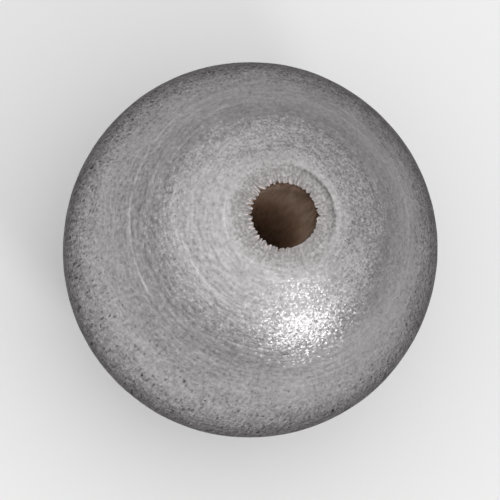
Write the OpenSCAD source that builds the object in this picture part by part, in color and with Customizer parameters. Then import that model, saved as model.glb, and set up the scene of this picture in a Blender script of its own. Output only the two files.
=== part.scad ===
// Turned wooden bead: one ball of wood with a bore drilled right through it.
// The bead stands on its lower end face. The origin is at its middle and +Z runs along the bore.
// All sizes are in millimetres and all angles in degrees.

/* [Ball] */
// Diameter of the ball, measured across the bore
bead_d = 25; // [16:0.5:60]

/* [Bore] */
// Diameter of the drilled bore
bore_d = 4.5; // [1:0.1:8]
// Width of the edge broken at each mouth of the bore, at 45 degrees
mouth_break = 0.25; // [0.05:0.05:0.8]

/* [Ends] */
// Width of the flat ring left around each mouth, on which the bead stands
land_w = 1.15; // [0.4:0.05:2.5]
// How far below the ball each flat ring is faced off, measured at its outer edge
facing_depth = 0.135; // [0.05:0.005:0.5]
// Slope of the shoulder that runs from the flat ring out to the ball
shoulder_angle = 23.3; // [15:0.1:35]

/* [Hidden] */
$fn = 160;

// Radii of the ball, the bore, its mouth and the flat ring's outer edge
ball_r = bead_d / 2;
bore_r = bore_d / 2;
mouth_r = bore_r + mouth_break;
land_r = mouth_r + land_w;

// Height of each end face above the middle, from the ball's own height at the ring's edge
half_len = sqrt(pow(ball_r, 2) - pow(land_r, 2)) - facing_depth;

// The shoulder's cone is drawn on past the ball, so that the two cross cleanly
past_ball = 1;
cone_r = ball_r + past_ball;
cone_z = half_len - (cone_r - land_r) * tan(shoulder_angle);

// What the drill and the turning tools leave, in the half plane beside the axis
module tool_path() {
    polygon([
        [bore_r, half_len - mouth_break],
        [mouth_r, half_len],
        [land_r, half_len],
        [cone_r, cone_z],
        [cone_r, -cone_z],
        [land_r, -half_len],
        [mouth_r, -half_len],
        [bore_r, -half_len + mouth_break]
    ]);
}

// One side of the bead cut lengthwise through its bore
module half_section() {
    intersection() {
        circle(d = bead_d);
        tool_path();
    }
}

module bead() {
    color([0.66, 0.65, 0.655])
        rotate_extrude()
            half_section();
}

bead();
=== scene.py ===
# %% [markdown]
# # A turned wooden bead, painted silver
# A bead like this is turned from a length of close-grained wood, drilled along the grain, tumbled
# and sprayed with aluminium paint. What makes it look real is small: pores that show as dots on the
# ends and as dashes round the middle, fine rings left by the turning tool, a torn edge where the drill
# went through, and bare wood inside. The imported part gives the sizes, so it is loaded first.

import math

import bpy
import numpy as np
from mathutils import Matrix, Vector, noise


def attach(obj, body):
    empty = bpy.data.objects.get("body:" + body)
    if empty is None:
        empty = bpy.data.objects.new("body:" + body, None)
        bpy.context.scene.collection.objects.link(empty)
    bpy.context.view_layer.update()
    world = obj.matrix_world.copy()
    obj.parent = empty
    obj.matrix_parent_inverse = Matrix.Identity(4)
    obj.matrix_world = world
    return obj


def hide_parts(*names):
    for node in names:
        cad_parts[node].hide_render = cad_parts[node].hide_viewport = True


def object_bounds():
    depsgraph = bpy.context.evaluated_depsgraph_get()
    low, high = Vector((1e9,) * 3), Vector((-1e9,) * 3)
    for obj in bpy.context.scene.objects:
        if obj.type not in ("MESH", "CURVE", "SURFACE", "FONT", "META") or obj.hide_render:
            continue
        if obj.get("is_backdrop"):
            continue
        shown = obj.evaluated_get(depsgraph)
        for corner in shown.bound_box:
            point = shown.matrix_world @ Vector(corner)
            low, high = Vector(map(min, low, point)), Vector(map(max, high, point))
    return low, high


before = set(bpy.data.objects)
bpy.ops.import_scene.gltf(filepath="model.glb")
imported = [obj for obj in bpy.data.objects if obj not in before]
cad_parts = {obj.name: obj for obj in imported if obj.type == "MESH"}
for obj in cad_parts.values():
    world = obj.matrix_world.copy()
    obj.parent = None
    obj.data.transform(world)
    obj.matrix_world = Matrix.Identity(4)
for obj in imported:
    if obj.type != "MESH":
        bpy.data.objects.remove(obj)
cad_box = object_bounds()
print("packed part:", sorted(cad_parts), "box", [tuple(corner) for corner in cad_box])

# %% [markdown]
# ## Measure the turned shape
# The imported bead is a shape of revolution, so a handful of radii and one height describe it. They could
# be typed in again, but they are measured on its corners instead: a bead packed at another size is then
# dressed just as well.

# %% Measure the turned shape
MM = 0.001
SAME = 0.003 * MM

corners = np.array([v.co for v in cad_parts["bead"].data.vertices])
from_axis = np.hypot(corners[:, 0], corners[:, 1])
from_middle = np.linalg.norm(corners, axis=1)

ball_r = from_middle.max()
half_len = corners[:, 2].max()
bore_r = from_axis.min()
on_end = corners[:, 2] > half_len - SAME
mouth_r = from_axis[on_end].min()
ring_r = from_axis[on_end].max()
shoulder_r = from_axis[from_middle > ball_r - SAME].min()
mouth_break = mouth_r - bore_r

print(f"ball {2 * ball_r / MM:.2f} mm across, {2 * half_len / MM:.2f} mm long")
print(f"bore {2 * bore_r / MM:.2f} mm, ring {mouth_r / MM:.2f} to {ring_r / MM:.2f} mm from the axis")
print(f"shoulder meets the ball {shoulder_r / MM:.2f} mm from the axis")

# %% [markdown]
# ## Draw the outline
# A turner would cut a card template of half the bead. The outline here is that card: from the middle of
# the ball over the shoulder and the flat ring, round the mouth and down the bore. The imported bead's own
# corners are too few to carry fine marks, so the outline is drawn anew at the measured sizes. Tumbling
# rounds the ring's outer edge most, so a curve is drawn there that keeps inside the corner.

# %% Draw the outline
OUTLINE_STEP = 0.01 * MM
RING_ROUNDING = 0.9 * MM


def straight(start, end):
    """Points from start up to, and not including, end."""
    count = max(2, round(math.dist(start, end) / OUTLINE_STEP))
    return np.linspace(start, end, count, endpoint=False)


def rounded(start, corner, end):
    """A curve from start to end that keeps inside the corner and leaves along both its sides."""
    count = round(math.dist(start, end) / OUTLINE_STEP)
    share = np.linspace(0, 1, count, endpoint=False)[:, None]
    start, corner, end = np.array(start), np.array(corner), np.array(end)
    return (1 - share) ** 2 * start + 2 * share * (1 - share) * corner + share**2 * end


def upper_outline():
    """Radius and height from the middle of the ball to the middle of the bore."""
    shoulder_lat = math.acos(shoulder_r / ball_r)
    shoulder_z = ball_r * math.sin(shoulder_lat)
    slope = (half_len - shoulder_z) / (shoulder_r - ring_r)
    lat = np.arange(0, shoulder_lat, OUTLINE_STEP / ball_r)
    ball = ball_r * np.column_stack([np.cos(lat), np.sin(lat)])
    on_shoulder = (ring_r + RING_ROUNDING, half_len - slope * RING_ROUNDING)
    on_ring = (ring_r - RING_ROUNDING, half_len)
    bends = [on_ring, (mouth_r, half_len), (bore_r, half_len - mouth_break), (bore_r, 0)]
    shoulder = straight((shoulder_r, shoulder_z), on_shoulder)
    ring_edge = rounded(on_shoulder, (ring_r, half_len), on_ring)
    rest = [straight(a, b) for a, b in zip(bends, bends[1:])]
    return np.vstack([ball, shoulder, ring_edge] + rest)


upper = upper_outline()
print("upper half of the outline:", len(upper), "points")

# %% [markdown]
# ## Soften the outline
# The lower half mirrors the upper one, so the outline closes on itself. Tumbling and paint soften every
# other edge too. A bevel would need an edge to start from, and the shoulder of a finished bead shows
# none, so a running average along the outline does it: a little way everywhere, and further at both
# ends of the shoulder.

# %% Soften the outline
EDGE_SOFTNESS = 0.05 * MM
BEND_SOFTNESS = {ring_r: (0.25 * MM, 0.6 * MM), shoulder_r: (0.65 * MM, 1.8 * MM)}
AVERAGE_SPAN = 3


def softness(radius):
    """How far each part of the outline is averaged to either side."""
    reach = np.full_like(radius, EDGE_SOFTNESS)
    for bend_r, (more, spread) in BEND_SOFTNESS.items():
        reach += more * np.exp(-(((radius - bend_r) / spread) ** 2))
    return reach


def softened(loop):
    """A closed outline whose corners are averaged out."""
    reach = softness(loop[:, 0])
    span = round(AVERAGE_SPAN * reach.max() / OUTLINE_STEP)
    summed = np.zeros_like(loop)
    summed_weight = np.zeros(len(loop))
    for k in range(-span, span + 1):
        weight = np.exp(-0.5 * (k * OUTLINE_STEP / reach) ** 2)
        summed += weight[:, None] * np.roll(loop, k, axis=0)
        summed_weight += weight
    return summed / summed_weight[:, None]


lower = upper[::-1] * (1, -1)
outline = softened(np.vstack([upper, lower]))
steps = np.linalg.norm(np.roll(outline, -1, axis=0) - outline, axis=1)
along = np.concatenate([[0], np.cumsum(steps)[:-1]])
outline_length = steps.sum()
print(f"outline {outline_length / MM:.1f} mm round, {len(outline)} points")

# %% [markdown]
# ## Choose the rows
# The outline is spun round the bore to make the surface. A Screw modifier would spin every point of it
# alike and waste corners. Here rows are picked from the outline instead. They crowd together at the two
# mouths, where the wood is torn, and stand further apart on the ball and in the bore.

# %% Choose the rows
BALL_GAP = 0.2 * MM
BORE_GAP = 0.45 * MM
MOUTH_GAP = 0.04 * MM
GAP_GROWTH = 0.055

inside = along[outline[:, 0] < mouth_r]
upper_edge, lower_edge = inside[0], inside[-1]


def past_edge_of(place):
    """How far a place on the outline lies past the edge of its mouth, counted into the bore."""
    return place - upper_edge if place < outline_length / 2 else lower_edge - place


def pick_rows():
    """Places along the outline for the rows of corners."""
    rows = []
    place = 0.0
    while place < outline_length - BALL_GAP / 2:
        rows.append(place)
        past = past_edge_of(place)
        widest = BORE_GAP if past > 0 else BALL_GAP
        place += min(widest, MOUTH_GAP + GAP_GROWTH * abs(past))
    return np.array(rows)


row_place = pick_rows()
row_past = np.array([past_edge_of(place) for place in row_place])
row_r = np.interp(row_place, along, outline[:, 0])
row_z = np.interp(row_place, along, outline[:, 1])
row_side = np.where(row_place < outline_length / 2, 1, -1)
print(len(row_place), "rows")

# %% [markdown]
# ## Share out the corners
# Rows near the axis are shorter than those on the ball. With as many corners in each, the faces there
# would be slivers. So the ball's middle and the torn mouths take all of them, the ends between take
# half as many, and rows deep in the bore take a quarter.

# %% Share out the corners
FULL_TURN = 400
POLAR_R = 6.4 * MM
FINE_OUTSIDE = 0.75 * MM
FINE_INSIDE = 1.0 * MM
HALF_INSIDE = 2.2 * MM


def corners_in_row(past, on_ball):
    """How many corners a row takes: most at the mouths and on the ball, fewest deep in the bore."""
    if past > HALF_INSIDE:
        return FULL_TURN // 4
    at_mouth = -FINE_OUTSIDE < past < FINE_INSIDE
    return FULL_TURN if at_mouth or on_ball else FULL_TURN // 2


row_on_ball = (row_past < 0) & (row_r > POLAR_R)
row_turn = np.array([corners_in_row(past, on_ball) for past, on_ball in zip(row_past, row_on_ball)])
row_start = np.concatenate([[0], np.cumsum(row_turn)])
print(row_start[-1], "corners in all")

# %% [markdown]
# ## Wood that moves
# No turned bead is perfect, and light on metal paint shows every fault. Wood shrinks unevenly as it
# dries, so the ball goes a little out of round. Its growth rings sand down to different heights, and its
# fibres stand up under wet paint. All of this could be sculpted, but it follows rules, so slow noise
# does the ball, rings round the pith of the tree do the growth, and fine noise does the fibres. It is
# real height, measured outwards from the outline in metres.

# %% Wood that moves
OUT_OF_ROUND = 0.07 * MM
FAULT_SIZE = 11 * MM
SMALL_FAULT_SIZE = 4 * MM
SMALL_FAULT_SHARE = 0.35
PITH = Vector((-21 * MM, 13 * MM, 0))
GROWTH_RING = 1.7 * MM
GROWTH_HEIGHT = 0.004 * MM
GROWTH_WANDER = 0.5 * MM
WANDER_SIZE = 5 * MM
FIBRE_HEIGHT = 0.004 * MM
FIBRE_WIDTH = 0.75 * MM
FIBRE_LONGER = 6


def out_of_round(point):
    """How far the wood at a point moved outwards as it dried."""
    small = SMALL_FAULT_SHARE * noise.noise(point / SMALL_FAULT_SIZE)
    return OUT_OF_ROUND * (noise.noise(point / FAULT_SIZE) + small)


def growth(point):
    """Swings between -1 and 1, in rings round the pith of the tree."""
    radius = (Vector((point.x, point.y, 0)) - PITH).length
    wander = GROWTH_WANDER * noise.noise(point / WANDER_SIZE)
    return math.sin(2 * math.pi * (radius + wander) / GROWTH_RING)


def grain_relief(point):
    """The height of the growth rings and of the fibres along the bore."""
    threads = noise.noise(Vector((point.x, point.y, point.z / FIBRE_LONGER)) / FIBRE_WIDTH)
    return GROWTH_HEIGHT * growth(point) + FIBRE_HEIGHT * threads


print(f"ball up to {OUT_OF_ROUND / MM:.2f} mm out of round, grain {2 * GROWTH_HEIGHT / MM:.3f} mm high")

# %% [markdown]
# ## Rings from the turning tool
# A turning tool leaves shallow rings of uneven spacing. Rings drawn with a wave would be too even. So
# they are noise along the outline, once broad and once narrow, and a third noise lets them fade in and
# out along their length, because the tool didn't press evenly.

# %% Rings from the turning tool
BROAD_RING_GAP = 1.3 * MM
BROAD_RING_HEIGHT = 0.006 * MM
BROAD_RING_SLICE = (3.1, 0.7)
NARROW_RING_GAP = 0.5 * MM
NARROW_RING_HEIGHT = 0.004 * MM
NARROW_RING_SLICE = (8.4, 2.9)
RING_STRENGTH = 0.6
RING_FADING = 0.8
RING_FADE_SIZE = 6 * MM


def tool_rings(place, point):
    """Shallow rings of uneven spacing, which fade in and out along their length."""
    broad = noise.noise(Vector((place / BROAD_RING_GAP, *BROAD_RING_SLICE)))
    narrow = noise.noise(Vector((place / NARROW_RING_GAP, *NARROW_RING_SLICE)))
    strength = RING_STRENGTH + RING_FADING * noise.noise(point / RING_FADE_SIZE)
    return strength * (BROAD_RING_HEIGHT * broad + NARROW_RING_HEIGHT * narrow)


at_middle = tool_rings(0.0, Vector((ball_r, 0, 0)))
print(f"tool rings stand {at_middle / MM:.4f} mm out at one place round the middle")

# %% [markdown]
# ## A step and a groove
# Where one cutter stopped and the next began there is a fine raised step, and the corner of a cutter
# can dig a groove beside the mouth. They could be curves laid on the ball and cut in with modifiers, but
# each is simply a bell across and a fade round the bead, which two short sums give.

# %% A step and a groove
STEP_LAT = math.radians(40)
STEP_TOWARD = math.radians(221)
STEP_HEIGHT = 0.022 * MM
STEP_WIDTH = 0.16 * MM
STEP_BREAKING = 0.6
STEP_BREAK_SIZE = 3 * MM
GROOVE_R = 3.46 * MM
GROOVE_DEEP = 0.11 * MM
GROOVE_INNER = 0.36 * MM
GROOVE_OUTER = 0.17 * MM
GROOVE_TOWARD = math.radians(75)
GROOVE_GAIN = 2.2
GROOVE_CUT = 0.9


def cutter_step(point):
    """A fine raised line above the middle, where one cutter stopped and the next began."""
    away = (math.asin(point.z / point.length) - STEP_LAT) * ball_r
    turned = math.atan2(point.y, point.x) - STEP_TOWARD
    fade = math.cos(turned) + STEP_BREAKING * noise.noise(point / STEP_BREAK_SIZE)
    return STEP_HEIGHT * max(0, min(1, fade)) * math.exp(-((away / STEP_WIDTH) ** 2))


def mouth_groove(point):
    """A fine groove that the corner of the cutter left round part of the upper mouth."""
    away = math.hypot(point.x, point.y) - GROOVE_R
    turned = math.atan2(point.y, point.x) - GROOVE_TOWARD
    fade = max(0, min(1, GROOVE_GAIN * math.cos(turned) - GROOVE_CUT)) if point.z > 0 else 0
    reach = GROOVE_INNER if away < 0 else GROOVE_OUTER
    return GROOVE_DEEP * fade * math.exp(-((away / reach) ** 2))


print(f"step {STEP_HEIGHT / MM:.3f} mm high, groove {GROOVE_DEEP / MM:.2f} mm deep")

# %% [markdown]
# ## Dents from tumbling
# Beads are tumbled together, and each hard knock leaves a small round dent. They could be pressed in by
# hand with a sculpting brush. A few drawn at random do as well, and a fixed seed puts them in the same
# places each time.

# %% Dents from tumbling
DENT_COUNT = 16
DENT_WIDTHS = (0.35, 1.1)
DENT_DEPTHS = (0.008, 0.03)
SEED = 5

chance = np.random.default_rng(SEED)
dent_place = chance.normal(size=(DENT_COUNT, 3))
dent_place *= ball_r / np.linalg.norm(dent_place, axis=1, keepdims=True)
dent_width = chance.uniform(*DENT_WIDTHS, DENT_COUNT) * MM
dent_depth = chance.uniform(*DENT_DEPTHS, DENT_COUNT) * MM


def dents(points):
    """The depth of the tumbling dents at each point."""
    depth = np.zeros(len(points))
    for place, width, deep in zip(dent_place, dent_width, dent_depth):
        depth += deep * np.exp(-(np.linalg.norm(points - place, axis=1) / width) ** 2)
    return depth


print(f"{DENT_COUNT} dents, the deepest {dent_depth.max() / MM:.3f} mm")

# %% [markdown]
# ## Tear the mouths
# A drill coming through wood tears its fibres instead of cutting them. The edge of each mouth is
# therefore a ring of small gaps: deep ones where the drill ran against the grain, almost none where it
# cut cleanly, and one notch where a splinter broke out. A bump would leave the edge a clean circle, so
# the gaps are cut into the shape itself. Each is a wedge, and their widths and depths are drawn at
# random from a fixed seed.

# %% Tear the mouths
GAP_COUNT = 44
GAP_SPANS = (0.6, 1.4)
GAP_SIZES = (0.35, 1)
GAP_WIDTH = 0.56
GAP_BITE = 0.28 * MM
LEAST_TEAR = 0.68
TEAR_FOCUS = 1.2
CLEAN_HALF_WIDTH = math.radians(32)
CLEAN_SHARE = 0.95
NOTCH_HALF_WIDTH = math.radians(4)
NOTCH_BITE = 0.8

MOUTHS = {
    1: dict(torn_side=math.radians(222), clean_side=math.radians(346),
            notch_side=math.radians(304), seed=11),
    -1: dict(torn_side=math.radians(70), clean_side=math.radians(190),
             notch_side=math.radians(20), seed=23),
}


def apart(angles, other):
    """The angle between each of angles and other, going the shorter way round."""
    return np.abs((angles - other + math.pi) % (2 * math.pi) - math.pi)


def torn_edge(angles, torn_side, clean_side, notch_side, seed):
    """From 0 to 1 at each angle: how far a gap bites out there, and how torn that side is."""
    lots = np.random.default_rng(seed)
    spans = lots.uniform(*GAP_SPANS, GAP_COUNT)
    spans *= 2 * math.pi / spans.sum()
    sizes = lots.uniform(*GAP_SIZES, GAP_COUNT)
    bite = np.zeros(len(angles))
    for middle, span, size in zip(np.cumsum(spans), spans, sizes):
        bite = np.maximum(bite, size * (1 - apart(angles, middle) / (GAP_WIDTH * span)))
    facing_tear = np.maximum(0, np.cos(apart(angles, torn_side))) ** TEAR_FOCUS
    tear = LEAST_TEAR + (1 - LEAST_TEAR) * facing_tear
    tear *= 1 - CLEAN_SHARE * np.exp(-((apart(angles, clean_side) / CLEAN_HALF_WIDTH) ** 2))
    notch = NOTCH_BITE * np.maximum(0, 1 - apart(angles, notch_side) / NOTCH_HALF_WIDTH)
    return np.maximum(bite * tear, notch), tear


full_circle = np.linspace(0, 2 * math.pi, FULL_TURN)
for side, mouth in MOUTHS.items():
    deepest = GAP_BITE * torn_edge(full_circle, **mouth)[0].max()
    print("upper" if side > 0 else "lower", f"mouth: gaps up to {deepest / MM:.2f} mm deep")

# %% [markdown]
# ## Pull the rows to the torn edge
# A gap doesn't stop at the edge. It runs on down the wall of the bore as a groove that gets shallower,
# and the paint over the torn side is ridged for a little way outside. Moving only the edge would fold
# the faces beside it. So the rows on both sides of it are pulled along, each less than the last, and a
# fine burr of fibres and paint is left standing into the bore between the gaps.

# %% Pull the rows to the torn edge
BURR_EDGE = -0.13 * MM
TORN_OUTSIDE = 0.7 * MM
TORN_INSIDE = 0.9 * MM
RIDGE_DEPTH = 0.035 * MM

torn_depth = half_len - np.interp(upper_edge + TORN_INSIDE, along, outline[:, 1])


def ring_outside(past, r, bite):
    """Radius and drop of a row on the flat ring, pulled towards the torn edge."""
    near = max(0, 1 + past / TORN_OUTSIDE)
    near = near * near * (3 - 2 * near)
    edge_r = bore_r + BURR_EDGE + GAP_BITE * bite
    return r + near * (edge_r - mouth_r), near**2 * RIDGE_DEPTH * bite


def wall_inside(past, depth, bite):
    """Radius and drop of a row just inside the mouth, where the gaps run out as grooves."""
    share = past / TORN_INSIDE
    edge = BURR_EDGE + GAP_BITE * bite
    return bore_r + edge * math.sqrt(1 - share), share * depth + (1 - share) * RIDGE_DEPTH * bite


print(f"tears reach {torn_depth / MM:.2f} mm down the bore, and the burr is {-BURR_EDGE / MM:.2f} mm wide")

# %% [markdown]
# ## Put the marks on a row
# All the marks so far are heights, and each corner moves outwards by their sum. Moving it away from the
# middle of the ball would be wrong on the flat rings, so it moves at a right angle to the outline. The
# marks fade towards the flat rings, so the bead still stands true.

# %% Put the marks on a row
MARK_FADE = 1.6 * MM
MARK_LEAST = 0.12


def row_normals():
    """The outward direction of each row, as radius and height."""
    ahead = (row_place + OUTLINE_STEP) % outline_length
    rise_r = np.interp(ahead, along, outline[:, 0], period=outline_length) - row_r
    rise_z = np.interp(ahead, along, outline[:, 1], period=outline_length) - row_z
    size = np.hypot(rise_r, rise_z)
    return rise_z / size, -rise_r / size


def surface_height(point, place):
    """How far the painted surface stands out from the outline at a point of it."""
    height = out_of_round(point) + grain_relief(point)
    return height + tool_rings(place, point) + cutter_step(point) - mouth_groove(point)


def marked(points, angles, k):
    """The corners of row k, moved outwards by the marks of making."""
    fade = max(MARK_LEAST, min(1, (row_r[k] - mouth_r) / MARK_FADE))
    heights = [surface_height(Vector(point), row_place[k]) for point in points]
    out = fade * (np.array(heights) - dents(points))
    out_r = out * normal_r[k]
    return points + np.column_stack([out_r * np.cos(angles), out_r * np.sin(angles), out * normal_z[k]])


normal_r, normal_z = row_normals()
print(f"first row faces outwards by {normal_r[0]:.3f} and upwards by {normal_z[0]:.3f}")

# %% [markdown]
# ## Spin the surface
# Every row is spun into a ring of corners, moved by the marks and by the torn edge. Each corner also
# keeps two notes for the finish: how far it lies into the bore past the end of the paint, in
# millimetres, and how torn the wood is. The finish could measure both from the axis, but only the
# corners know where the gaps are.

# %% Spin the surface
TEAR_SPREAD = 0.75 * MM
PAINT_OVER_EDGE = 0.07 * MM
BARE_AT_GAP = 0.28 * MM


def spin_row(k):
    """The corners of row k, how far each lies past the end of the paint, and how torn it is."""
    past, side = row_past[k], row_side[k]
    angles = 2 * math.pi * np.arange(row_turn[k]) / row_turn[k]
    bite, tear = torn_edge(angles, **MOUTHS[side])
    r = np.full(len(angles), row_r[k])
    drop = np.full(len(angles), half_len - abs(row_z[k]))
    if -TORN_OUTSIDE < past <= 0:
        r, more = ring_outside(past, row_r[k], bite)
        drop += more
    elif 0 < past < TORN_INSIDE:
        r, drop = wall_inside(past, torn_depth, bite)
    points = np.column_stack([r * np.cos(angles), r * np.sin(angles), side * (half_len - drop)])
    if past < 0:
        points = marked(points, angles, k)
    past_paint = past - PAINT_OVER_EDGE + BARE_AT_GAP * bite
    return points, past_paint, tear * math.exp(min(0, past) / TEAR_SPREAD)


rings = [spin_row(k) for k in range(len(row_place))]
points, past_paint, how_torn = (np.concatenate(parts) for parts in zip(*rings))
print(f"lowest corner {points[:, 2].min() / MM:.3f} mm, highest {points[:, 2].max() / MM:.3f} mm")

# %% [markdown]
# ## Join the corners into faces
# Neighbouring rows are joined by four-sided faces. Where a row has twice the corners of the next, one
# wide face would leave a corner hanging in the middle of its edge. Three triangles bridge each pair of
# steps there instead, so the surface stays closed.

# %% Join the corners into faces
def joined(k):
    """The faces between row k and the next one, each a list of (row, step round it)."""
    following = (k + 1) % len(row_place)
    turn, next_turn = row_turn[k], row_turn[following]
    if turn == next_turn:
        return [[(k, i), (k, i + 1), (following, i + 1), (following, i)] for i in range(turn)]
    if turn > next_turn:
        fine, coarse, count = k, following, next_turn
    else:
        fine, coarse, count = following, k, turn
    faces = []
    for i in range(count):
        left, middle, right = (fine, 2 * i), (fine, 2 * i + 1), (fine, 2 * i + 2)
        near, far = (coarse, i), (coarse, i + 1)
        three = [[left, middle, near], [middle, far, near], [middle, right, far]]
        faces += three if fine == k else [face[::-1] for face in three]
    return faces


faces = [face for k in range(len(row_place)) for face in joined(k)]
face_corners = [[row_start[k] + i % row_turn[k] for k, i in face] for face in faces]
triangles = sum(len(face) - 2 for face in faces)
print(len(faces), "faces,", triangles, "triangles")

# %% [markdown]
# ## Find room on a flat sheet
# Other programs need the finish as flat pictures, so the surface is also laid out on a flat sheet.
# Blender can unwrap it by itself, but cuts it into many uneven patches. Here the middle of the ball
# becomes two long strips, each end a disc, and the bore one upright strip. At one scale throughout they
# fill a square 55 mm wide, with no part stretched by more than a fifth.

# %% Find room on a flat sheet
SHEET = 55 * MM
MARGIN = 0.4 * MM

ball_reach = row_place[row_on_ball & (row_side > 0)].max()
disc_reach = mouth_r + upper_edge - ball_reach
strip_width = math.pi * ball_r
strip_middle = (MARGIN + ball_reach, 3 * MARGIN + 3 * ball_reach)
disc_x = strip_width + 3 * MARGIN + disc_reach
disc_middle = {1: MARGIN + disc_reach, -1: 3 * MARGIN + 3 * disc_reach}
bore_x = strip_width + 3 * MARGIN
bore_y = 5 * MARGIN + 4 * disc_reach
print(f"strips {strip_width / MM:.1f} mm long, discs {2 * disc_reach / MM:.1f} mm across")

# %% [markdown]
# ## Lay the surface on the sheet
# Each corner's place on the sheet follows from its row and its angle. They could be kept one for each
# corner, but where two parts meet, a corner lies on both. So they are kept one for each corner of each
# face, as Blender does for any seam.

# %% Lay the surface on the sheet
ANGLE_SLACK = 1e-6


def on_ball(place, angle, half):
    """A place on the strip for one half of the ball's middle."""
    height = place if place < outline_length / 2 else place - outline_length
    return MARGIN + ball_r * (angle - half * math.pi), strip_middle[half] + height


def on_disc(place, angle, side):
    """A place on the disc for one end."""
    reach = mouth_r - past_edge_of(place)
    return disc_x + reach * math.cos(angle), disc_middle[side] + reach * math.sin(angle)


def in_bore(place, angle):
    """A place on the strip for the bore."""
    return bore_x + bore_r * angle, bore_y + place - upper_edge


def flat_places(face):
    """Where the corners of a face lie on the sheet, as shares of its width."""
    rows = [k for k, _ in face]
    place_angle = [(row_place[k], 2 * math.pi * i / row_turn[k]) for k, i in face]
    if all(row_on_ball[k] for k in rows):
        half = int(min(angle for _, angle in place_angle) >= math.pi - ANGLE_SLACK)
        laid = [on_ball(place, angle, half) for place, angle in place_angle]
    elif all(row_past[k] >= 0 for k in rows):
        laid = [in_bore(place, angle) for place, angle in place_angle]
    else:
        laid = [on_disc(place, angle, row_side[rows[0]]) for place, angle in place_angle]
    return [(x / SHEET, y / SHEET) for x, y in laid]


flat = np.array([spot for face in faces for spot in flat_places(face)])
print("sheet used from", flat.min(0).round(3), "to", flat.max(0).round(3))

# %% [markdown]
# ## Make the bead
# The corners and faces become one closed mesh with smooth shading. A real bead is one piece of wood, so
# this is one object too. It stands for the imported bead and rides on the part's only body.

# %% Make the bead
skin = bpy.data.meshes.new("painted_bead")
skin.from_pydata(points.tolist(), [], face_corners)
skin.polygons.foreach_set("use_smooth", np.ones(len(faces), bool))
skin.uv_layers.new(name="OFBake").data.foreach_set("uv", flat.ravel())
skin.attributes.new("past_paint", "FLOAT", "POINT").data.foreach_set("value", past_paint / MM)
skin.attributes.new("torn", "FLOAT", "POINT").data.foreach_set("value", how_torn)
skin.validate()
bead = bpy.data.objects.new("painted_bead", skin)
bpy.context.scene.collection.objects.link(bead)
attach(bead, "root")
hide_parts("bead")
print("bead made:", len(skin.vertices), "corners,", len(skin.polygons), "faces")

# %% [markdown]
# ## Start the finish
# A finish is a small machine of nodes, each working on what comes out of others. They could be dragged
# in by hand in the shader editor, but a script can be read, changed and run again. A picture wrapped
# round a ball would show its seams. So everything here goes by where a point lies on the bead, in
# millimetres, and by the two notes that the corners keep.

# %% Start the finish
def add(tree, kind, sockets=None, **settings):
    """A new node with its settings and sockets filled in, from numbers or from other nodes."""
    made = tree.nodes.new(kind)
    for name, value in settings.items():
        setattr(made, name, value)
    for name, value in (sockets or {}).items():
        if isinstance(value, bpy.types.NodeSocket):
            tree.links.new(value, made.inputs[name])
        else:
            made.inputs[name].default_value = value
    return made


def vector_calc(tree, operation, *values):
    """A sum on vectors, which hands back a vector."""
    sockets = dict(enumerate(values))
    return add(tree, "ShaderNodeVectorMath", sockets, operation=operation).outputs["Vector"]


def resized(tree, vector, *factors):
    """A vector made longer or shorter, by one factor or by one for each direction."""
    return vector_calc(tree, "MULTIPLY", vector, factors if len(factors) == 3 else factors * 3)


def parts_of(tree, vector):
    """The X, Y and Z of a vector."""
    return add(tree, "ShaderNodeSeparateXYZ", {0: vector}).outputs


def corner_note(tree, name):
    """What the corners keep under a name."""
    return add(tree, "ShaderNodeAttribute", None, attribute_name=name).outputs["Fac"]


finish = bpy.data.materials.new("painted_wood")
finish.use_nodes = True
tree = finish.node_tree
tree.nodes.clear()

raw_place = add(tree, "ShaderNodeTexCoord").outputs["Object"]
place = resized(tree, raw_place, 1 / MM)
height = parts_of(tree, place)["Z"]
past = corner_note(tree, "past_paint")
torn = corner_note(tree, "torn")
print("finish started with", len(tree.nodes), "nodes")

# %% [markdown]
# ## Rings of the tree
# In spring a tree grows open wood and in summer hard wood, in rings round its pith. Paint this thin
# hides their colour, but not how open they are. The rings of a wave texture would be perfect circles.
# So the distance from the pith is waved about by noise first, and then put through a sine.

# %% Rings of the tree
RING_LEAN = 0.02
RING_WAVE = 1.6
RING_WAVE_SIZE = 5.0


def calc(tree, operation, *values):
    """A sum on single values."""
    return add(tree, "ShaderNodeMath", dict(enumerate(values)), operation=operation).outputs[0]


def measured(tree, operation, *vectors):
    """A sum on vectors, which hands back a single value."""
    sockets = dict(enumerate(vectors))
    return add(tree, "ShaderNodeVectorMath", sockets, operation=operation).outputs["Value"]


def cloud(tree, vector, size, detail=2.0, roughness=0.5):
    """Soft noise around 0.5, with blotches about size millimetres apart."""
    sockets = {"Vector": vector, "Scale": 1 / size, "Detail": detail, "Roughness": roughness}
    return add(tree, "ShaderNodeTexNoise", sockets).outputs["Fac"]


def between(tree, share, first, second):
    """A single value between first and second."""
    sockets = {"Value": share, "To Min": first, "To Max": second}
    return add(tree, "ShaderNodeMapRange", sockets, clamp=False).outputs["Result"]


def early_wood(tree, place):
    """From 0 in the hard wood of a summer to 1 in the open wood of a spring."""
    flat_place = resized(tree, place, 1, 1, RING_LEAN)
    radius = measured(tree, "LENGTH", vector_calc(tree, "SUBTRACT", flat_place, tuple(PITH / MM)))
    wander = calc(tree, "MULTIPLY", cloud(tree, place, RING_WAVE_SIZE), RING_WAVE)
    turn = calc(tree, "MULTIPLY", calc(tree, "ADD", radius, wander), 2 * math.pi * MM / GROWTH_RING)
    return between(tree, calc(tree, "SINE", turn), 0.5, 1.0)


early = early_wood(tree, place)
print("with the tree's rings,", len(tree.nodes), "nodes")

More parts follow.
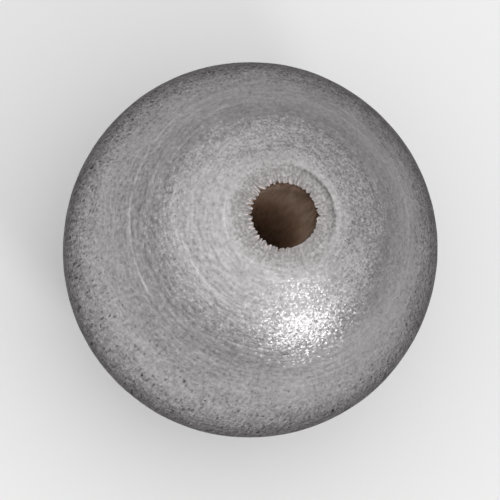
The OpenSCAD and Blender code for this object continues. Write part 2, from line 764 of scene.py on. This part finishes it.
# %% [markdown]
# ## Pores and fibres
# Pores are the tubes that carried a tree's water, so they run along the grain, which is along the bore.
# They could be drawn one by one, but there are thousands. Squashing the space lengthwise turns the round
# cells of a Voronoi texture into long ones: cut across at the ends they are dots, cut along at the
# middle they are dashes. Fibres are noise in a space squashed the same way.

# %% Pores and fibres
PORE_GAP = 0.28
PORE_STRETCH = 0.15
PORE_WOBBLE = 0.5
WOBBLE_SCALE = 1.3
PORE_REACH = (0.3, 0.5)
LEAST_PORE = 0.5
PORE_BOTTOM = 0.55
PORE_STRENGTH = (0.3, 0.85)
FIBRE_GAP = 0.2
FIBRE_STRETCH = 0.13


def ramp(tree, value, start, end, low=0.0, high=1.0):
    """Runs smoothly from low to high as value goes from start to end."""
    sockets = {"Value": value, "From Min": start, "From Max": end, "To Min": low, "To Max": high}
    kind = "ShaderNodeMapRange"
    return add(tree, kind, sockets, interpolation_type="SMOOTHSTEP").outputs["Result"]


def pores(tree, place, early):
    """0 on sound wood, and up to 0.85 in the middle of an open pore."""
    grain_place = resized(tree, place, 1, 1, PORE_STRETCH)
    sockets = {"Vector": grain_place, "Scale": WOBBLE_SCALE}
    wobble = add(tree, "ShaderNodeTexNoise", sockets).outputs["Color"]
    shift = resized(tree, wobble, PORE_WOBBLE)
    sockets = {"Vector": vector_calc(tree, "ADD", grain_place, shift), "Scale": 1 / PORE_GAP}
    cells = add(tree, "ShaderNodeTexVoronoi", sockets).outputs
    lot = parts_of(tree, cells["Color"])
    widest = between(tree, early, *PORE_REACH)
    reach = calc(tree, "MULTIPLY", between(tree, lot["X"], LEAST_PORE, 1.0), widest)
    open_pore = ramp(tree, cells["Distance"], reach, calc(tree, "MULTIPLY", reach, PORE_BOTTOM))
    return calc(tree, "MULTIPLY", open_pore, between(tree, lot["Y"], *PORE_STRENGTH))


def fibres(tree, place):
    """Fine threads of wood along the bore, around 0.5."""
    return cloud(tree, resized(tree, place, 1, 1, FIBRE_STRETCH), FIBRE_GAP, roughness=0.6)


dashes = pores(tree, place, early)
threads = fibres(tree, place)
print("with pores and fibres,", len(tree.nodes), "nodes")

# %% [markdown]
# ## What the tool left
# The bead was cut while it turned, so everything that the tool left runs round the bore. A wave texture
# would make rings of one spacing. Noise makes uneven ones when its space is stretched: sideways places
# stay as they are, and the third direction becomes the distance along the ball from the pole, counted
# several times over. The more often it is counted, the thinner the lines.

# %% What the tool left
SCUFFS = dict(long=0.55, thin=0.22, detail=1.5)
WIDE_BANDS = dict(long=7.0, thin=0.8, detail=1.0)
FINE_LINES = dict(long=4.5, thin=0.26, detail=1.0)
BRIGHT_LINE = (0.62, 0.8)


def pole_distance(tree, place, height):
    """How far a point is from the pole, along the ball."""
    share = calc(tree, "DIVIDE", height, measured(tree, "LENGTH", place))
    return calc(tree, "MULTIPLY", calc(tree, "ARCCOSINE", share), ball_r / MM)


def turned_noise(tree, place, down, long, thin, detail):
    """Noise about long millimetres round the bore and thin millimetres along the ball, around 0.5."""
    parts = parts_of(tree, place)
    stretched = calc(tree, "MULTIPLY", down, long / thin)
    sockets = {"X": parts["X"], "Y": parts["Y"], "Z": stretched}
    turned_place = add(tree, "ShaderNodeCombineXYZ", sockets).outputs[0]
    return cloud(tree, turned_place, long, detail, roughness=0.6)


down = pole_distance(tree, place, height)
scuffs = turned_noise(tree, place, down, **SCUFFS)
wide_bands = turned_noise(tree, place, down, **WIDE_BANDS)
fine_lines = turned_noise(tree, place, down, **FINE_LINES)
bright_lines = ramp(tree, fine_lines, *BRIGHT_LINE)
print("with the tool's marks,", len(tree.nodes), "nodes")

# %% [markdown]
# ## The bright crest of the step
# The step between two cutters is in the shape already. Paint rubs bright on the crest of it, and the
# shape alone doesn't say so. An edge mask would find every edge of the bead, so the crest gets a band of
# its own instead, at the same height and on the same side, broken up by noise.

# %% The bright crest of the step
STEP_CREST = (0.14, 0.03)
STEP_SIDE = (4.0, 8.5)
STEP_GAP_SIZE = 1.6
STEP_GAPS = (0.35, 0.6)


def toward(tree, place, angle):
    """How many millimetres a place lies out from the bore towards an angle."""
    return measured(tree, "DOT_PRODUCT", place, (math.cos(angle), math.sin(angle), 0))


def product(tree, first, *others):
    """All the values multiplied together."""
    for value in others:
        first = calc(tree, "MULTIPLY", first, value)
    return first


def step_line(tree, place, down):
    """A fine bright line on one side, on the crest of the step between two cutters."""
    away = calc(tree, "SUBTRACT", down, ball_r / MM * (math.pi / 2 - STEP_LAT))
    crest = ramp(tree, calc(tree, "ABSOLUTE", away), *STEP_CREST)
    side = ramp(tree, toward(tree, place, STEP_TOWARD), *STEP_SIDE)
    broken = ramp(tree, cloud(tree, place, STEP_GAP_SIZE), *STEP_GAPS)
    return product(tree, crest, side, broken)


step = step_line(tree, place, down)
print("with the crest,", len(tree.nodes), "nodes")

# %% [markdown]
# ## Painted shade in the groove
# Down in the groove beside the upper mouth the paint stays dull, because nothing rubs it. A darker shadow
# there would need a deeper groove than the real one. So this band darkens the paint from the lip of the
# groove inwards, on the groove's own side, more in some patches than in others. It is partly dull paint
# and partly painted shade.

# %% Painted shade in the groove
GROOVE_LIP = (-0.1, 0.1)
GROOVE_RUNOUT = (0.65, 0.1)
GROOVE_SIDE = (1.5, 3.4)
SHADE_PATCH_SIZE = 0.5
SHADE_PATCHES = dict(start=0.3, end=0.65, low=0.45)


def groove_shade(tree, place, height):
    """Where the paint is darkened in the groove beside the upper mouth: partly dull paint, partly painted
    shade.
    """
    radius = measured(tree, "LENGTH", resized(tree, place, 1, 1, 0))
    inwards = calc(tree, "SUBTRACT", GROOVE_R / MM, radius)
    lip = ramp(tree, inwards, *GROOVE_LIP)
    runout = ramp(tree, inwards, *GROOVE_RUNOUT)
    side = ramp(tree, toward(tree, place, GROOVE_TOWARD), *GROOVE_SIDE)
    upper_half = ramp(tree, height, 0.0, 1.0)
    uneven = ramp(tree, cloud(tree, place, SHADE_PATCH_SIZE), **SHADE_PATCHES)
    return product(tree, lip, runout, side, upper_half, uneven)


# The groove band darkens the paint: partly dull paint, partly painted shade.
groove = groove_shade(tree, place, height)
print("with the dull groove,", len(tree.nodes), "nodes")

# %% [markdown]
# ## Splinters at the mouth
# Where the drill tore the wood, stiff fibres radiate from the mouth under the paint. Thin wedges of real
# geometry would be far too many. Noise does it if it is asked only which way a point lies from the bore:
# then it changes round the mouth and stays the same outwards, which makes streaks.

# %% Splinters at the mouth
SPLINTER_WIDTH = 0.16
SPLINTER_RADIUS = 2.6
SPLINTER_DRIFT = 1.1


def splinter_streaks(tree, place):
    """Streaks that point away from the bore, around 0.5."""
    flat_place = resized(tree, place, 1, 1, 0)
    outward = vector_calc(tree, "NORMALIZE", flat_place)
    spread = resized(tree, outward, SPLINTER_RADIUS / SPLINTER_WIDTH)
    drift = resized(tree, flat_place, SPLINTER_DRIFT)
    return cloud(tree, vector_calc(tree, "ADD", spread, drift), 1.0, roughness=0.6)


streaks = splinter_streaks(tree, place)
splinters = product(tree, calc(tree, "SUBTRACT", streaks, 0.5), torn)
print("with splinters,", len(tree.nodes), "nodes")

# %% [markdown]
# ## How rough the cut is
# The tool runs with the grain on one side of a bead and against it on the other, so the cut is smooth
# here and rough there. One roughness all over would look like a moulding. The rough side is found by
# direction, and noise makes the edge between the two wander.

# %% How rough the cut is
ROUGH_TOWARD = math.radians(255.5)
ROUGH_EDGE = (-3.0, 8.0)
ROUGH_WANDER = 12.0
ROUGH_WANDER_SIZE = 5.0
SMOOTH_CUT = 0.72
ROUGH_CUT = 1.38


def total(tree, start, *shares):
    """start plus each value times its weight."""
    for value, weight in shares:
        start = calc(tree, "MULTIPLY_ADD", value, weight, start)
    return start


def against_grain(tree, place):
    """How strong the marks are: weaker where the tool ran with the grain, stronger against it."""
    wander = cloud(tree, place, ROUGH_WANDER_SIZE)
    side = toward(tree, place, ROUGH_TOWARD)
    wandering = total(tree, -ROUGH_WANDER / 2, (side, 1.0), (wander, ROUGH_WANDER))
    return ramp(tree, wandering, *ROUGH_EDGE, SMOOTH_CUT, ROUGH_CUT)


rough_cut = against_grain(tree, place)
print("with rough and smooth sides,", len(tree.nodes), "nodes")

# %% [markdown]
# ## Weigh the marks
# The grain and the tool both mark the bead, but not everywhere alike. Fibres and pores show most round
# the middle, where the grain lies along the surface, and the tool's marks show most towards the ends.
# Two finishes could be painted and masked. Here one share, which says how side-on the grain lies, weighs
# the two sums of marks against each other, and each MIDDLE brings a sum back to about 0 on average.

# %% Weigh the marks
GRIT = dict(size=0.26, detail=1.5, roughness=0.6)
SIDE_ON = (9.0, 3.0)
LEAST_SHARE = 0.2

TOOL_MIDDLE = -0.42
SCUFF_TONE = 0.52
BRIGHT_LINE_TONE = 0.12
FINE_LINE_TONE = 0.3
WOOD_MIDDLE = -0.4
THREAD_TONE = 0.95
# Pores are darker partly because they hold darker binder and partly as painted shade in their pits.
PORE_SHADE_TONE = -0.5
SPECKLE_MIDDLE = -0.25
GRIT_TONE = 0.5

side_on = ramp(tree, calc(tree, "ABSOLUTE", height), *SIDE_ON)
turned = between(tree, side_on, 1.0, LEAST_SHARE)
grain = between(tree, side_on, LEAST_SHARE, 1.0)

grit = cloud(tree, place, **GRIT)
tool_tone = total(tree, TOOL_MIDDLE, (scuffs, SCUFF_TONE), (bright_lines, BRIGHT_LINE_TONE),
                  (fine_lines, FINE_LINE_TONE))
# The fibres' tone, plus the pores' darkening: partly darker binder, partly painted shade in the pits.
wood_tone_and_pore_shade = total(tree, WOOD_MIDDLE, (threads, THREAD_TONE), (dashes, PORE_SHADE_TONE))
speckle = total(tree, SPECKLE_MIDDLE, (grit, GRIT_TONE), (tool_tone, turned))
print("with the marks weighed,", len(tree.nodes), "nodes")

# %% [markdown]
# ## Silver paint
# The paint is flakes of aluminium in a clear binder, and it lies brighter on what stands proud and deeper
# in what is sunk. In the pores and in the groove, that darkening is partly painted shade. One grey would
# look like plastic, so its colour is mixed between a deep and a bright silver, and every mark adds its
# share to that mix. Colours are written as they look on a screen, because that is how a paint is judged,
# and turned into the light values that Blender mixes.

# %% Silver paint
PAINT_DEEP = (113, 110, 111)
PAINT_BRIGHT = (216, 213, 214)
BLOTCHES = dict(size=2.4, detail=2.0, roughness=0.6)
PAINT_MIDDLE = 0.24
BLOTCH_TONE = 0.22
BAND_TONE = 0.24
SPLINTER_TONE = 2.2
STEP_TONE = 0.35
# Darkening in the groove beside the upper mouth: partly dull paint, partly painted shade.
GROOVE_SHADE_TONE = -0.36

FACTOR, COLOUR_A, COLOUR_B, COLOUR_OUT = 0, 6, 7, 2


def paint_colour(red, green, blue):
    """A colour given as it looks on a screen, from 0 to 255, as the light values that Blender mixes."""
    def light(level):
        share = level / 255
        return share / 12.92 if share <= 0.04045 else ((share + 0.055) / 1.055) ** 2.4
    return (light(red), light(green), light(blue), 1)


def mixed(tree, share, first, second):
    """A colour between first and second."""
    sockets = {FACTOR: share, COLOUR_A: first, COLOUR_B: second}
    return add(tree, "ShaderNodeMix", sockets, data_type="RGBA").outputs[COLOUR_OUT]


blotches = cloud(tree, place, **BLOTCHES)
tone = total(tree, PAINT_MIDDLE, (speckle, rough_cut), (blotches, BLOTCH_TONE),
             (wide_bands, BAND_TONE), (wood_tone_and_pore_shade, grain), (splinters, SPLINTER_TONE),
             (step, STEP_TONE), (groove, GROOVE_SHADE_TONE))
silver_colour = mixed(tree, tone, paint_colour(*PAINT_DEEP), paint_colour(*PAINT_BRIGHT))
print("with silver,", len(tree.nodes), "nodes")

# %% [markdown]
# ## The feel of the paint
# The same marks can be felt, and light catches on them. Cutting them all into the mesh would need
# millions of faces, so marks this fine are left to a bump, which takes their height in millimetres.
# Scuffed paint also shines less. Both go by the same values as the colour, so all three agree.

# %% The feel of the paint
GRIT_HEIGHT = 0.014
SCUFF_HEIGHT = 0.015
FINE_LINE_HEIGHT = 0.009
THREAD_HEIGHT = 0.03
DASH_HEIGHT = -0.03
SPLINTER_HEIGHT = 0.07
PAINT_ROUGH = (0.28, 0.46)

tool_bump = total(tree, 0.0, (scuffs, SCUFF_HEIGHT), (fine_lines, FINE_LINE_HEIGHT))
wood_bump = total(tree, 0.0, (threads, THREAD_HEIGHT), (dashes, DASH_HEIGHT))
cut_bump = total(tree, 0.0, (grit, GRIT_HEIGHT), (tool_bump, turned))
silver_bump = total(tree, 0.0, (cut_bump, rough_cut), (wood_bump, grain), (splinters, SPLINTER_HEIGHT))
silver_rough = between(tree, scuffs, *PAINT_ROUGH)
print("with height and gloss,", len(tree.nodes), "nodes")

# %% [markdown]
# ## Soaked paint and pale hairs
# Open end grain drinks paint, so round the mouth the silver is duller and browner, in specks. The
# finest torn hairs stand out of it almost white, because the paint hardly covers them. Single hairs
# would be too fine to model. Both go by how far a point is from the edge of the paint, and noise keeps
# that limit from being a circle.

# %% Soaked paint and pale hairs
HAIR = (214, 203, 200)
SOAKED = (100, 95, 91)
SOAK_MIDDLE, SOAK_SLOPE = -1.75, 0.8
SOAK_WANDER, SOAK_WANDER_SIZE = 0.8, 0.6
SOAK_SPECKS, SOAK_SPECK_SIZE = 2.6, 0.2
SOAK_SHARE = dict(start=-1.1, end=0.0, high=0.55)
HAIR_LIMIT = (-0.9, 0.1)
HAIR_LIMIT_SIZE = 0.5
HAIR_FADE = 0.35
HAIR_STREAKS = (0.48, 0.62)
HAIR_WHERE_TORN = dict(start=0.4, end=0.9, low=0.15)


def soaked(tree, place, past):
    """How much of its brightness the paint lost to the open wood round the mouth."""
    wander = cloud(tree, place, SOAK_WANDER_SIZE)
    specks = cloud(tree, place, SOAK_SPECK_SIZE)
    shares = (past, SOAK_SLOPE), (wander, SOAK_WANDER), (specks, SOAK_SPECKS)
    return ramp(tree, total(tree, SOAK_MIDDLE, *shares), **SOAK_SHARE)


def hairs(tree, place, past, torn, streaks):
    """How much of the pale hairs shows: most on the torn side, close to the edge."""
    limit = between(tree, cloud(tree, place, HAIR_LIMIT_SIZE), *HAIR_LIMIT)
    near = ramp(tree, past, limit, calc(tree, "ADD", limit, HAIR_FADE))
    single = ramp(tree, streaks, *HAIR_STREAKS)
    return product(tree, near, single, ramp(tree, torn, **HAIR_WHERE_TORN))


hair = hairs(tree, place, past, torn, streaks)
dulled_colour = mixed(tree, soaked(tree, place, past), silver_colour, paint_colour(*SOAKED))
coat_colour = mixed(tree, hair, dulled_colour, paint_colour(*HAIR))
print("with hairs and soaked paint,", len(tree.nodes), "nodes")

# %% [markdown]
# ## Flakes
# Each flake in the paint is a small mirror lying nearly flat, and together they break the highlight into
# sparks. Real flakes would be millions of faces. The cells of a Voronoi texture stand for them, and
# each tips the direction of the surface a little its own way.

# %% Flakes
FLAKE_GAP = 0.11
FLAKE_TIP = 0.24


def flakes(tree, place):
    """The surface direction, tipped a little at random in each flake."""
    cells = add(tree, "ShaderNodeTexVoronoi", {"Vector": place, "Scale": 1 / FLAKE_GAP})
    lot = vector_calc(tree, "SUBTRACT", cells.outputs["Color"], (0.5,) * 3)
    tip = resized(tree, lot, FLAKE_TIP)
    outward = add(tree, "ShaderNodeNewGeometry").outputs["Normal"]
    return vector_calc(tree, "NORMALIZE", vector_calc(tree, "ADD", outward, tip))


flake_direction = flakes(tree, place)
print("with flakes,", len(tree.nodes), "nodes")

# %% [markdown]
# ## Bare wood in the bore
# No paint reaches far into a hole this narrow. The drill leaves brown wood, with streaks along the grain
# and fine rings across it. One brown would go black a few millimetres down, where little light comes. So
# the colour is painted paler with the depth: this is painted light that stands in for the light the bore
# lacks.

# %% Bare wood in the bore
MOUTH_DARK = (96, 76, 64)
MOUTH_LIGHT = (146, 120, 103)
# Painted light: the deep wood is painted pale to stand in for light that the closed bore does not get.
PAINTED_LIT_DEEP_DARK = (214, 190, 170)
PAINTED_LIT_DEEP_LIGHT = (240, 222, 206)
PAINTED_LIGHT_DEPTHS = (0.3, 6.0)
WOOD_STRETCH = 0.12
WOOD_STREAKS = dict(size=0.3, detail=3.0, roughness=0.65)
WOOD_STREAK_EDGE = (0.3, 0.7)
WOOD_STREAK_HEIGHT = 0.05
DRILL_RING_GAP = 0.22
DRILL_RING_HEIGHT = 0.03


def line_noise(tree, value, size, detail):
    """Noise along one direction only, around 0.5."""
    sockets = {"W": value, "Scale": 1 / size, "Detail": detail}
    return add(tree, "ShaderNodeTexNoise", sockets, noise_dimensions="1D").outputs["Fac"]


def bare_wood(tree, place, height, past):
    """The wood's colour, painted paler deep in the bore as painted light, and its height in millimetres.
    """
    grain_streaks = cloud(tree, resized(tree, place, 1, 1, WOOD_STRETCH), **WOOD_STREAKS)
    share = ramp(tree, grain_streaks, *WOOD_STREAK_EDGE)
    at_mouth = mixed(tree, share, paint_colour(*MOUTH_DARK), paint_colour(*MOUTH_LIGHT))
    deeper = mixed(tree, share, paint_colour(*PAINTED_LIT_DEEP_DARK), paint_colour(*PAINTED_LIT_DEEP_LIGHT))
    # Painted light: with depth, the colour runs from the mouth's brown to the pale deep colours.
    colour = mixed(tree, ramp(tree, past, *PAINTED_LIGHT_DEPTHS), at_mouth, deeper)
    drill_rings = line_noise(tree, height, DRILL_RING_GAP, detail=2.0)
    bump = total(tree, 0.0, (grain_streaks, WOOD_STREAK_HEIGHT), (drill_rings, DRILL_RING_HEIGHT))
    return colour, bump


bore_wood_and_painted_light, bore_bump = bare_wood(tree, place, height, past)
print("with bare wood,", len(tree.nodes), "nodes")

# %% [markdown]
# ## Where the paint ends
# The paint runs over the edge of the mouth and stops in a ragged line, and a little spray dusts the
# first millimetres of the wood. Two materials on separate faces would meet in a clean saw-tooth. One
# value that says how bare the wood is can be as ragged as the noise in it.

# %% Where the paint ends
RAGGED = dict(size=0.16, detail=3.0, roughness=0.7)
RAGGED_REACH = 0.2
PAINT_EDGE = (-0.03, 0.03)
DUST = dict(size=0.09, detail=1.0)
DUST_THINS = dict(start=0.0, end=1.6, low=0.5, high=0.75)
DUST_EDGE = (0.0, 0.05)


def wood_share(tree, place, past):
    """1 where the wood is bare, 0 where paint covers it."""
    ragged = calc(tree, "SUBTRACT", cloud(tree, place, **RAGGED), 0.5)
    edge = ramp(tree, calc(tree, "MULTIPLY_ADD", ragged, RAGGED_REACH, past), *PAINT_EDGE)
    thinning = ramp(tree, past, **DUST_THINS)
    dusted = ramp(tree, calc(tree, "SUBTRACT", cloud(tree, place, **DUST), thinning), *DUST_EDGE)
    return product(tree, edge, calc(tree, "SUBTRACT", 1.0, dusted))


bare = wood_share(tree, place, past)
print("with the end of the paint,", len(tree.nodes), "nodes")

# %% [markdown]
# ## Put the finish together
# Two shaders could be mixed, but other programs read one far better. So one shader carries both
# surfaces: colour, metal, roughness and height all change over from paint to wood by the same share,
# and the ragged line between them is one line in everything.

# %% Put the finish together
WOOD_ROUGH = 0.8
EDGE_TINT = (0.02, 0.02, 0.02, 1)

surface_bump = add(tree, "ShaderNodeBump", {
    "Height": between(tree, bare, silver_bump, bore_bump),
    "Distance": MM,
    "Normal": flake_direction,
})
shader = add(tree, "ShaderNodeBsdfPrincipled", {
    "Base Color": mixed(tree, bare, coat_colour, bore_wood_and_painted_light),
    "Metallic": between(tree, bare, calc(tree, "SUBTRACT", 1.0, hair), 0.0),
    "Roughness": between(tree, bare, silver_rough, WOOD_ROUGH),
    "Specular Tint": EDGE_TINT,
    "Normal": surface_bump.outputs["Normal"],
})
add(tree, "ShaderNodeOutputMaterial", {"Surface": shader.outputs["BSDF"]})
skin.materials.append(finish)
print("finish made of", len(tree.nodes), "nodes")

# %% [markdown]
# ## Camera
# The bead stands on one end, and the camera looks down on it a little off the bore's axis. A short lens
# close by would stretch the near side of a ball, so the camera stands well back with a long lens. It is
# rolled so that the bore leans to the upper right.

# %% Camera
CAMERA_AWAY = 0.5
CAMERA_RISE = math.radians(74.3)
LEAN_RIGHT = math.radians(45)
FRAME_SHARE = 0.75
SENSOR = 36
FARTHEST_SEEN = 10

toward_camera = Vector((0, -math.cos(CAMERA_RISE), math.sin(CAMERA_RISE)))
straight_up = Vector((0, math.sin(CAMERA_RISE), math.cos(CAMERA_RISE)))
level_right = straight_up.cross(toward_camera)
up = straight_up * math.cos(LEAN_RIGHT) - level_right * math.sin(LEAN_RIGHT)
right = straight_up * math.sin(LEAN_RIGHT) + level_right * math.cos(LEAN_RIGHT)
ball_half_angle = math.asin(ball_r / CAMERA_AWAY)

camera = bpy.data.objects.new("camera", bpy.data.cameras.new("camera"))
camera.matrix_world = Matrix((right, up, toward_camera)).transposed().to_4x4()
camera.location = CAMERA_AWAY * toward_camera
camera.data.sensor_width = SENSOR
camera.data.lens = SENSOR / 2 * FRAME_SHARE / math.tan(ball_half_angle)
camera.data.clip_end = FARTHEST_SEEN
bpy.context.scene.collection.objects.link(camera)
bpy.context.scene.camera = camera
print("lens", round(camera.data.lens), "mm")

# %% [markdown]
# ## Floor
# The bead stands on a plain pale table, and its shadow shows that it stands. A curved backdrop would hide
# the line where a table ends, but the pale horizon of the room below nearly does that by itself, so the
# floor is flat. It lies at the lowest corner of the bead.

# %% Floor
FLOOR_SIZE = 3.0
FLOOR_LEVEL = 0.82


def plain(name, level):
    """A matt pale surface."""
    made = bpy.data.materials.new(name)
    made.use_nodes = True
    nodes = made.node_tree
    nodes.nodes.clear()
    matt = add(nodes, "ShaderNodeBsdfDiffuse", {"Color": (level, level, level, 1)}).outputs[0]
    add(nodes, "ShaderNodeOutputMaterial", {"Surface": matt})
    return made


half_floor = FLOOR_SIZE / 2
floor_z = float(points[:, 2].min())
sides = [(-1, -1), (1, -1), (1, 1), (-1, 1)]
floor_mesh = bpy.data.meshes.new("floor")
floor_corners = [(x * half_floor, y * half_floor, floor_z) for x, y in sides]
floor_mesh.from_pydata(floor_corners, [], [(0, 1, 2, 3)])
floor_mesh.materials.append(plain("pale_floor", FLOOR_LEVEL))
floor = bpy.data.objects.new("floor", floor_mesh)
bpy.context.scene.collection.objects.link(floor)
floor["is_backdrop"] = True
print(f"floor at {floor_z / MM:.3f} mm")

# %% [markdown]
# ## Key light
# One round softbox makes the highlight, low on the right of the ball as seen from the camera. It could
# be moved about until the highlight falls right. A ball is a mirror with a known direction at each
# place, though, so the place of the highlight says where the lamp must stand.

# %% Key light
HIGHLIGHT_RIGHT = 0.282
HIGHLIGHT_DOWN = 0.362
KEY_LEVEL = 0.195
KEY_AWAY = 0.5
KEY_SIZE = 0.115


def softbox(name, aim, away, size, level):
    """A round soft lamp aimed at the bead; level is the brightness that it gives a white card."""
    lamp = bpy.data.lights.new(name, "AREA")
    lamp.shape = "DISK"
    lamp.size = size
    lamp.energy = level * math.pi**2 * away**2
    made = bpy.data.objects.new(name, lamp)
    made.location = aim.normalized() * away
    made.rotation_mode = "QUATERNION"
    made.rotation_quaternion = aim.to_track_quat("Z", "Y")
    bpy.context.scene.collection.objects.link(made)


facing = math.sqrt(1 - HIGHLIGHT_RIGHT**2 - HIGHLIGHT_DOWN**2)
highlight = HIGHLIGHT_RIGHT * right - HIGHLIGHT_DOWN * up + facing * toward_camera
key_toward = 2 * facing * highlight - toward_camera
softbox("key_softbox", key_toward, KEY_AWAY, KEY_SIZE, KEY_LEVEL)
print("key light toward", tuple(round(x, 3) for x in key_toward))

# %% [markdown]
# ## The room
# Metal paint shows the room that it stands in. An even grey room would leave the ball flat. This one has
# a bright ceiling, brightest over the camera's side, dim walls, and a pale horizon that keeps the
# backdrop light. It is painted on the world by direction, so no card or curtain has to be built.

# %% The room
CEILING_LEVEL = 1.12
CEILING_EDGE = (0.02, 0.8)
CEILING_RIGHT = 0.12
CEILING_UP = 0.18
WALL_LEVEL = 0.1
WALL_FOOT = (0.0, 0.12)
HORIZON_LEVEL = 0.75

room = bpy.data.worlds.new("pale_room")
room.use_nodes = True
room_tree = room.node_tree
room_tree.nodes.clear()

direction = add(room_tree, "ShaderNodeTexCoord").outputs["Generated"]
walls = ramp(room_tree, parts_of(room_tree, direction)["Z"], *WALL_FOOT, HORIZON_LEVEL, WALL_LEVEL)
ceiling_toward = (toward_camera + CEILING_RIGHT * right + CEILING_UP * up).normalized()
lift = measured(room_tree, "DOT_PRODUCT", direction, tuple(ceiling_toward))
ceiling = ramp(room_tree, lift, *CEILING_EDGE, 0.0, CEILING_LEVEL)
sockets = {"Color": (1, 1, 1, 1), "Strength": calc(room_tree, "ADD", walls, ceiling)}
room_light = add(room_tree, "ShaderNodeBackground", sockets).outputs[0]
add(room_tree, "ShaderNodeOutputWorld", {"Surface": room_light})
bpy.context.scene.world = room
bpy.context.scene.view_settings.view_transform = "Standard"
print("room made of", len(room_tree.nodes), "nodes")

# %% [markdown]
# ## Print the sizes and finish
# The dressed bead must keep the imported bead's size. It could be judged by eye, but both boxes are
# printed instead.

# %% Print the sizes and finish
seen_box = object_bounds()
boxes = {
    "cad": [list(corner) for corner in cad_box],
    "visual": [list(corner) for corner in seen_box],
}
for name, (low, high) in boxes.items():
    print(name, [round((b - a) / MM, 2) for a, b in zip(low, high)], "mm")
